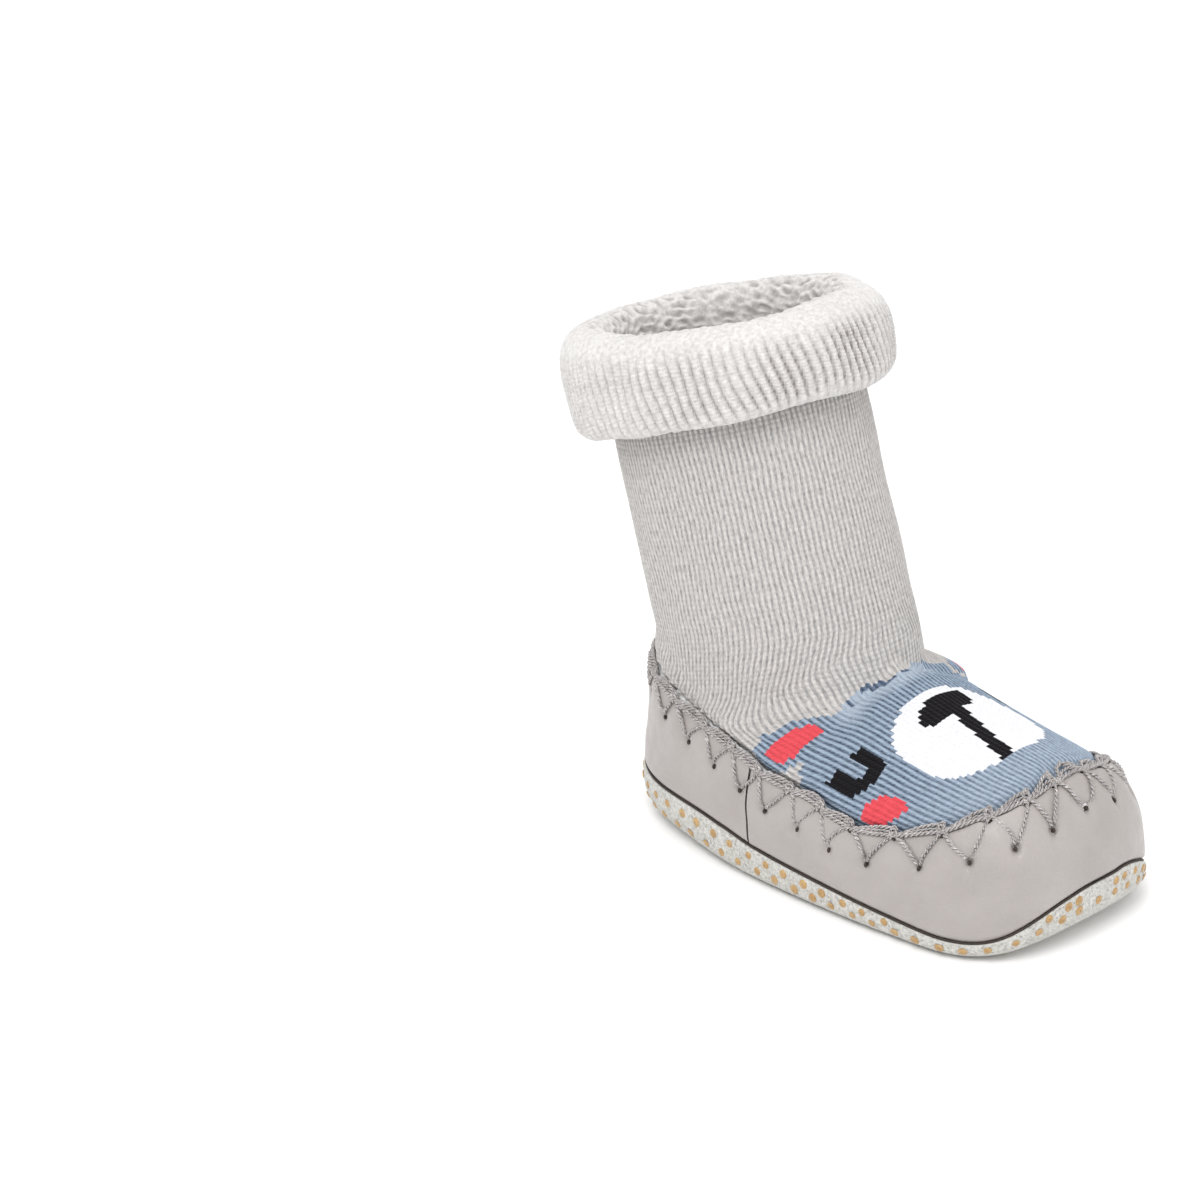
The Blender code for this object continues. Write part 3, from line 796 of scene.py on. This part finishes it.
def make_cuff():
    """The cuff's outside, ribbed below its rolled rim, and its looped inside."""
    end = lengths(spline(CUFF_PROFILE, 12))[-1]
    lag = np.random.default_rng(11).uniform(0, 1, CUFF_WALES)
    columns = CUFF_WALES * 7

    def piece(name, low, high, spacing):
        grid, normal, at = cuff_surface(low, high, spacing, columns)
        run = at[:, None]
        wale = np.arange(columns)[None] / 7 + 0.06 * (run - 15) + 0.16 * ripple(grid, 16.0, 31)
        index = np.floor(wale).astype(int) % CUFF_WALES
        inside = wale - np.floor(wale)
        rib = np.sin(math.pi * inside) ** 0.75
        loop = run / 0.86 + lag[index] + 0.9 * inside * (1 - inside) + 0.2 * ripple(grid, 5.0, 34)
        loop = np.sin(math.pi * (loop % 1)) ** 0.8
        ribbed = ease(run, 3.0, 8.5) * (1 - ease(run, 17.5, 25.0)) * (0.9 + 0.2 * ripple(grid, 20.0, 32))
        looped = ease(run, 27.5, 34.0)
        coarse = ripple(grid * (1, 1, 1.8), 2.5, 36, 14)
        relief = ribbed * (0.85 * rib + 0.2 * loop * rib - 0.7) + looped * 0.27 * coarse
        relief = relief + 0.07 * ripple(grid, 1.7, 33, 12) + 0.35 * ripple(grid, 22.0, 35)
        # Painted shade: darker between the ribs and the loops, and in the low places of the looped inside.
        dark = ribbed * (0.9 * (1 - rib) ** 1.4 + 0.22 * (1 - loop))
        dark = dark + looped * np.clip(0.1 - 0.45 * coarse, 0, 0.8)
        dark = np.clip(dark, 0, 1)[:-1]
        tint_and_painted_shade = np.stack([dark, dark, dark, np.ones_like(dark)], -1)
        return add_grid(name, grid + normal * relief[..., None], TERRY, tint_and_painted_shade=tint_and_painted_shade, facing=True)

    return piece("cuff_outer", 0, CUFF_RIM, 0.205), piece("cuff_inner", CUFF_RIM, end, 0.3)


# The leather, its felt and its stitching.


def knots_and_feet():
    """Where the knots lie along the leather's edge, and the foot of the V after each: s, then s and z."""
    knots = np.concatenate([-np.array(KNOT_PLACES[::-1]), KNOT_PLACES])
    feet = np.concatenate([-np.array(FOOT_PLACES[1:-1][::-1]), FOOT_PLACES])
    return knots, feet, edge_z(feet) - np.interp(abs(feet), *zip(*STITCH_DROP))


KNOTS, FEET, FEET_Z = knots_and_feet()


def leather_relief(s, z):
    """How far the leather stands out where the stitches gather it."""
    p = body_point(s, z)
    total = np.zeros(p.shape[:-1])
    for foot, foot_z in zip(FEET, FEET_Z):
        toe = 1 - ease(abs(foot), 0.06, 0.15)
        off = p - body_point(foot, foot_z)
        away2 = off[..., 0] ** 2 + off[..., 1] ** 2
        drop = off[..., 2]
        total -= 0.9 * np.exp(-(away2 + drop**2) / 2.0)
        reach = 3.2 + 10.5 * toe
        below = np.clip(-drop / reach, 0, 1)
        width = 0.7 + (1.5 + 0.9 * toe) * below
        total -= (0.38 + 1.45 * toe) * np.exp(-away2 / width**2) * (1 - below) ** 1.4 * (drop < 0.3)
    for knot in KNOTS:
        toe = 1 - ease(abs(knot), 0.06, 0.15)
        off = p - body_point(knot, edge_z(knot))
        away2 = off[..., 0] ** 2 + off[..., 1] ** 2
        drop = off[..., 2]
        total += (0.3 + 0.85 * toe) * np.exp(-away2 / (5.5 + 4 * toe) - ((drop + 5.5) / (3.5 + 3 * toe)) ** 2)
        total -= 0.5 * np.exp(-(away2 + drop**2) / 1.6)
    return total


def leather_edge(s):
    """The edge's height: drawn down at each knot, and scalloped between."""
    near = np.min([abs((s - knot + 0.5) % 1 - 0.5) for knot in KNOTS], axis=0)
    return edge_z(s) - 0.7 * np.exp(-((near / 0.004) ** 2)) + 0.2 * np.sin(s * 2 * math.pi * 17) ** 2


def make_leather():
    seam = float(s_of_y(SIDE_SEAM_Y))
    gap = 0.0012
    made = {}
    for name, first, last, columns, proud in (
        ("vamp", -seam + gap, seam - gap, 620, 0.14), ("heel", seam + gap, 1 - seam - gap, 430, -0.06),
    ):
        s = np.linspace(first, last, columns)
        grow = 1.0 if name == "vamp" else -1.0
        ends = np.exp(-(s - first) / 0.004) + np.exp(-(last - s) / 0.004)
        low, high = seam_z(s) + 0.25, leather_edge(s)

        def at(share):
            bow = SEAM_BOW * math.sin(math.pi * min(share, 1))
            shift_last = bow * np.clip(1 - (last - s) / 0.05, 0, 1) * grow
            shift_first = -bow * np.clip(1 - (s - first) / 0.05, 0, 1) * grow
            return s + shift_last + shift_first

        rows = []
        step_out = proud * np.clip(ends, 0, 1)
        for share in np.linspace(0, 1, 44):
            t = at(share)
            z = low + share * (high - low)
            wrinkle = 0.30 * ripple(body_point(t, z), 26.0, 41) + 0.07 * ripple(body_point(t, z), 7.0, 42)
            out = leather_relief(t, z) + wrinkle * ease(share, 0.02, 0.3) + step_out
            tuck = 0.9 * (1 - ease(share * (high - low), 0, 1.5)) ** 2
            rows.append(skin(t, z, tuck - out))
        out = leather_relief(at(1), high) + step_out
        for turn in np.radians((25, 50, 75, 105, 130, 155)):
            z = high + 0.45 * math.sin(turn)
            rows.append(skin(at(1), z, -out + 0.5 * LEATHER * (1 - math.cos(turn))))
        for share in (1, 0.85, 0.6, 0.3, 0.05):
            z = low + share * (high - low)
            rows.append(skin(at(share), z, LEATHER - leather_relief(at(share), z)))
        made[name] = add_grid(f"{name}_leather", np.array(rows), LEATHER_SKIN, closed=False)
    return made["vamp"], made["heel"]


def make_felt():
    s = np.arange(900) / 900
    high = leather_edge(s) * 0.35 + edge_z(s) * 0.65 + 0.75
    rows = []
    for share in (0, 0.4, 0.7, 0.85, 1.0):
        z = edge_z(s) - 5 + share * (high - edge_z(s) + 5)
        p = body_point(s, z)
        rows.append(skin(s, z, FELT_INSET - 0.25 + 0.12 * ripple(p, 1.4, 51)))
    for turn in np.radians((30, 60, 90, 120, 150)):
        z = high + 0.4 * math.sin(turn)
        p = body_point(s, z)
        fuzz = 0.13 * ripple(p, 1.1, 52, 10)
        rows.append(skin(s, z + fuzz, FELT_INSET - 0.25 + 0.45 * (1 - math.cos(turn)) + fuzz))
    for share in (1.0, 0.6, 0.0):
        z = edge_z(s) - 5 + share * (high - edge_z(s) + 5)
        rows.append(skin(s, z, FELT_INSET + 0.65))
    return add_grid("felt_edge", np.array(rows), FELT)


def make_stitches():
    """The cord: legs down to the foot of each V, a chain of arcs from knot to knot, and the knots."""
    rng = np.random.default_rng(5)
    paths, radii, middles, thin = [], [], [], []

    def lay(s, z, lift, ply, pitch=2.3):
        line = skin(s, z, -np.asarray(lift))
        made = rope(line, body_normal(s, z), ply, pitch, phase=rng.uniform(0, 6.28))
        paths.extend(made)
        radii.extend([ply] * len(made))
        middles.append(sum(made) / len(made))
        thin.append(ply * 0.85)

    def surface(s, z):
        """The leather's surface up to its edge, and the knit's above it."""
        above = ease(z - edge_z(s), 0.1, 1.6)
        return leather_relief(s, z) * (1 - above) - 0.75 * above

    after = np.append(KNOTS[1:], KNOTS[0] + 1)
    for knot, then, foot, foot_z in zip(KNOTS, after, FEET, FEET_Z):
        t = np.linspace(0, 1, 16)
        for start, way in ((knot, 1), (then, -1)):
            bow = rng.uniform(-0.12, 0.3) * (foot - start)
            s = start + (foot - start) * t + bow * np.sin(math.pi * t)
            top = edge_z(start) + 0.9
            z = top + (foot_z - top) * t**0.95
            lift = surface(s, z) + 0.42 - 1.2 * t**10
            lay(s, z, lift, 0.27 if way > 0 else 0.24, 2.1)
            if start == knot:
                lay(s + 0.0009 * (1 - t), z + 0.35 * (1 - t), lift - 0.1, 0.2, 2.6)
        arcs = ((2.0, 0.25, 0.002, 0.45), (1.15, 0.22, 0.0, 0.5), (0.35, 0.25, 0.0, 0.55))
        for rise, ply, ahead, out in arcs:
            s = knot + (then + ahead - knot) * t
            z = edge_z(s) + 0.35 + rise * np.sin(0.5 * math.pi * t) ** 0.9 * (1 - 0.6 * t**6)
            lay(s, z, surface(s, z) + out + 0.12 * np.sin(math.pi * t), ply)
        around = np.linspace(-0.6, 1.5 * math.pi, 12)
        s = knot - 0.001 + 0.0024 * np.cos(around)
        z = edge_z(knot) + 1.1 + 1.0 * np.sin(around)
        lay(s, z, surface(s, z) + 0.62, 0.2)
    points, quads, uv = tube_mesh(paths, radii)
    cord = add_mesh("edge_cord", points, quads, CORD, uv)
    # Painted shade between the plies: a thin near-black tube down the middle of each rope.
    points, quads, uv = tube_mesh(middles, thin)
    return cord, add_mesh("edge_cord_painted_shade", points, quads, CORD_SHADE, uv)


def make_holes():
    """Painted shade in the holes that the cord goes down into: dark caps at the foot of each V and at each
    knot.
    """
    turn = 2 * math.pi * np.arange(10) / 10
    points, quads = [], []
    feet = [(s, z - 0.5, 0.75, 1.0) for s, z in zip(FEET, FEET_Z)]
    knots = [(s, float(edge_z(s)) + 0.25, 0.35, 1.5) for s in KNOTS]
    for k, (s, z, inset, wide) in enumerate(feet + knots):
        middle = skin(s, z, inset)
        normal = body_normal(s, z)
        side = unit(np.cross(normal, (0, 0, 1.0)))
        up = np.cross(side, normal)
        for radius, lift in ((0.04, 0.5), (0.3, 0.44), (0.4, 0.25), (0.35, -0.3)):
            round_hole = np.cos(turn)[:, None] * side + 1.35 * np.sin(turn)[:, None] * up
            points.append(middle + wide * radius * round_hole + lift * normal)
        quads.append(grid_quads(4, 10, True).reshape(-1, 4) + k * 40)
    return add_mesh("painted_hole_shade", np.concatenate(points), np.concatenate(quads), THREAD_AND_HOLE_SHADE)


def make_seam_lines():
    s = np.arange(361) / 360
    around = skin(s, seam_z(s) + 0.25, 0.42)
    paths, radii = [around], [0.27]
    seam = float(s_of_y(SIDE_SEAM_Y))
    for sign in (1, -1):
        share = np.linspace(0.02, 0.97, 30)
        line = sign * (seam + SEAM_BOW * np.sin(math.pi * share))
        low, high = seam_z(line), edge_z(line)
        z = low + share * (high - low)
        paths.append(skin(line, z, 0.5))
        radii.append(0.26)
    points, quads, uv = tube_mesh(paths, radii, 8)
    return add_mesh("seam_threads", points, quads, THREAD_AND_HOLE_SHADE, uv)


# The sole.


def sole_outline(s, height, inset, round_heel):
    """A ring of the sole at that height, that far in from its side, and both more at the heel."""
    heel = ease(outline_y(s), HEEL_FROM, HEEL_FULL)
    p = skin(s, 3.0, inset + round_heel * heel)
    p[..., 2] = height * (1 + 0.9 * heel) + toe_spring(p[..., 1])
    return p


def sole_profile(s):
    """Rings of the sole's outer face, from its middle to its rim."""
    lift = 0.35
    edge = sole_outline(s, lift, 3.6, 2.6)
    edge[:, 2] = lift + toe_spring(edge[:, 1])
    rings = []
    for share in (0.02, 0.25, 0.5, 0.7, 0.85, 0.94):
        ring = edge * (share, 1, 1)
        ring[:, 1] = edge[:, 1] * share
        ring[:, 2] = lift + toe_spring(ring[:, 1])
        rings.append(ring)
    rings.append(edge)
    for height, inset, round_heel in (
        (0.42, 2.7, 2.1), (0.75, 1.7, 1.7), (1.35, 0.85, 1.1), (2.1, 0.3, 0.6), (3.0, 0.05, 0.2),
    ):
        rings.append(sole_outline(s, height, inset, round_heel))
    rim = seam_z(s)
    start = 3.0 * (1 + 0.9 * ease(outline_y(s), HEEL_FROM, HEEL_FULL)) + toe_spring(outline_y(s))
    for share in (0.35, 0.6, 0.8, 0.93):
        z = start + share * (rim - start)
        rings.append(skin(s, z, -0.12 * share))
    return rings, rim


def make_sole():
    """The sole, and its grip dots: a field on the bottom and two rows up the side."""
    s = np.arange(SOLE_COLUMNS) / SOLE_COLUMNS
    rings, rim = sole_profile(s)
    rings.append(skin(s, rim + 0.05, 0.05))
    rings.append(skin(s, rim - 0.02, 0.45))
    rings.append(skin(s, rim - 0.5, 0.95))
    rings.append(skin(s, 3.2 + toe_spring(outline_y(s)), 1.3))
    grid = np.array(rings)
    sole = add_grid("sole", grid, CANVAS)
    turn = 2 * math.pi * np.arange(12) / 12
    points, quads = [], []
    out = unit(np.cross(np.roll(grid, -1, 1) - np.roll(grid, 1, 1), np.gradient(grid, axis=0)))
    out *= np.sign((out[12] * (grid[12] - grid[12].mean(0))).sum())

    def dot(middle, normal, radius, height):
        side = unit(np.cross(normal, (0.1, 1.0, 0.2)))
        up = np.cross(side, normal)
        start = sum(len(p) for p in points)
        for share, rise in ((1.0, -0.15), (0.97, 0.35), (0.82, 0.72), (0.55, 0.93), (0.12, 1.0)):
            ring = middle + radius * share * (np.cos(turn)[:, None] * side + np.sin(turn)[:, None] * up)
            points.append(ring + normal * height * rise)
        quads.append(grid_quads(5, 12, True).reshape(-1, 4) + start)

    for row in range(-14, 15):
        for col in range(-8, 9):
            x = (col + 0.5 * (row % 2)) * DOT_PITCH
            y = row * DOT_PITCH * 0.87
            room = 4.6 + 2.8 * float(ease(y, HEEL_FROM, HEEL_FULL))
            if abs(x) < np.interp(y, OUTLINE[:, 1], OUTLINE[:, 0]) - room and -53 < y < 50:
                z = 0.35 + float(toe_spring(y))
                climb = float(toe_spring(y + 0.5)) - float(toe_spring(y - 0.5))
                dot(np.array([x, y, z]), unit(np.array([0, climb, -1.0])), DOT_RADIUS, 0.33)
    count = int(GIRTH / SIDE_DOT_PITCH)
    for level, offset in ((0.30, 0.0), (0.72, 0.5)):
        for k in range(count):
            s_dot = (k + offset) / count
            base = 1.6 + float(toe_spring(outline_y(s_dot)))
            z = base + level * (float(seam_z(s_dot)) - base)
            if float(seam_z(s_dot)) - base < 3.4 and level > 0.5:
                continue
            column = int(s_dot * SOLE_COLUMNS) % SOLE_COLUMNS
            up = grid[7:16, column, 2]
            place = 7 + np.interp(z, up, np.arange(9))
            ring, share = int(place), place - int(place)
            middle = grid[ring, column] * (1 - share) + grid[ring + 1, column] * share
            dot(middle, out[ring, column], DOT_RADIUS + 0.12 * math.sin(5.3 * k), 0.30)
    grips = add_mesh("grip_dots", np.concatenate(points), np.concatenate(quads), RUBBER)
    return sole, grips


# The photograph's view, fitted by a scratch program. Degrees, millimetres of lens, then metres.
VIEW_AZIMUTH, VIEW_ELEVATION, VIEW_LENS = -45.9, 22.55, 127.7
VIEW_DISTANCE, VIEW_LEFT, VIEW_UP = 0.9, 0.0587, 0.0530


def make_studio():
    bpy.ops.mesh.primitive_plane_add(size=6)
    floor = bpy.context.object
    floor.name = "floor"
    f = Finish("floor_paper", Roughness=0.9)
    tone = f.noise(f.place, 6.0, 3.0, 0.5)
    f.put(f.shader, {"Base Color": f.ramp(tone, (0.3, 0.95), (0.7, 0.97))})
    floor.data.materials.append(f.material)
    world = bpy.data.worlds.new("studio")
    bpy.context.scene.world = world
    world.use_nodes = True
    background = world.node_tree.nodes["Background"]
    background.inputs["Color"].default_value = (1, 1, 1, 1)
    background.inputs["Strength"].default_value = 0.95
    for name, place, size, power in (
        ("key", (-0.55, -0.25, 0.75), 0.5, 4.0), ("fill", (0.3, -0.9, 0.5), 0.7, 1.2),
        ("top", (0.1, 0.3, 1.0), 0.6, 1.8),
    ):
        light = bpy.data.lights.new(name, "AREA")
        light.shape, light.size, light.energy = "DISK", size, power
        lamp = bpy.data.objects.new(name, light)
        lamp.location = place
        lamp.rotation_mode = "QUATERNION"
        lamp.rotation_quaternion = (Vector((0, 0, 0.05)) - Vector(place)).to_track_quat("-Z", "Y")
        bpy.context.scene.collection.objects.link(lamp)
    azimuth, elevation = math.radians(VIEW_AZIMUTH), math.radians(VIEW_ELEVATION)
    level = math.cos(elevation)
    back = Vector((math.sin(azimuth) * level, -math.cos(azimuth) * level, math.sin(elevation)))
    right = Vector((math.cos(azimuth), math.sin(azimuth), 0))
    up = back.cross(right)
    camera = bpy.data.cameras.new("camera")
    camera.lens, camera.sensor_width = VIEW_LENS, 36
    holder = bpy.data.objects.new("camera", camera)
    holder.matrix_world = Matrix((right, up, back)).transposed().to_4x4()
    aim = Vector((0, -SHIFT * MM, 0))
    holder.location = back * VIEW_DISTANCE - right * VIEW_LEFT + up * VIEW_UP + aim
    bpy.context.scene.collection.objects.link(holder)
    bpy.context.scene.camera = holder
    bpy.context.scene.view_settings.view_transform = "Standard"


def settle(obj, body, slot, *nodes):
    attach(obj, body)
    if nodes:
        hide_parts(*nodes)


make_studio()
sock = make_sock()
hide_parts("sock_foot", "sock_leg")
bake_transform(sock)
lining = make_lining()
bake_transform(lining)
cuff_outer, cuff_inner = make_cuff()
settle(cuff_outer, "cuff", "grey_terry", "cuff", "cuff_hem")
settle(cuff_inner, "cuff", "grey_terry")
vamp, heel = make_leather()
settle(vamp, "foot", "taupe_leather", "vamp_wrap")
settle(heel, "foot", "taupe_leather", "heel_wrap")
settle(make_felt(), "foot", "white_felt", "vamp_lining", "heel_lining")
cord, cord_painted_shade = make_stitches()
settle(cord, "foot", "silver_cord", "edge_stitch_chain", "edge_stitch_zigzag")
settle(cord_painted_shade, "foot", "silver_cord")
settle(make_holes(), "foot", "dark_thread")
settle(make_seam_lines(), "foot", "dark_thread", "sole_seam_thread", "side_seam_right", "side_seam_left")
sole, grips = make_sole()
settle(sole, "foot", "sole_canvas", "outsole")
settle(grips, "foot", "sole_canvas")
for node, finish in (("midsole_pad", FOAM), ("insole", FELT), ("toe_seam", LINING_KNIT)):
    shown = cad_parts[node]
    shown.data.materials.clear()
    shown.data.materials.append(finish)
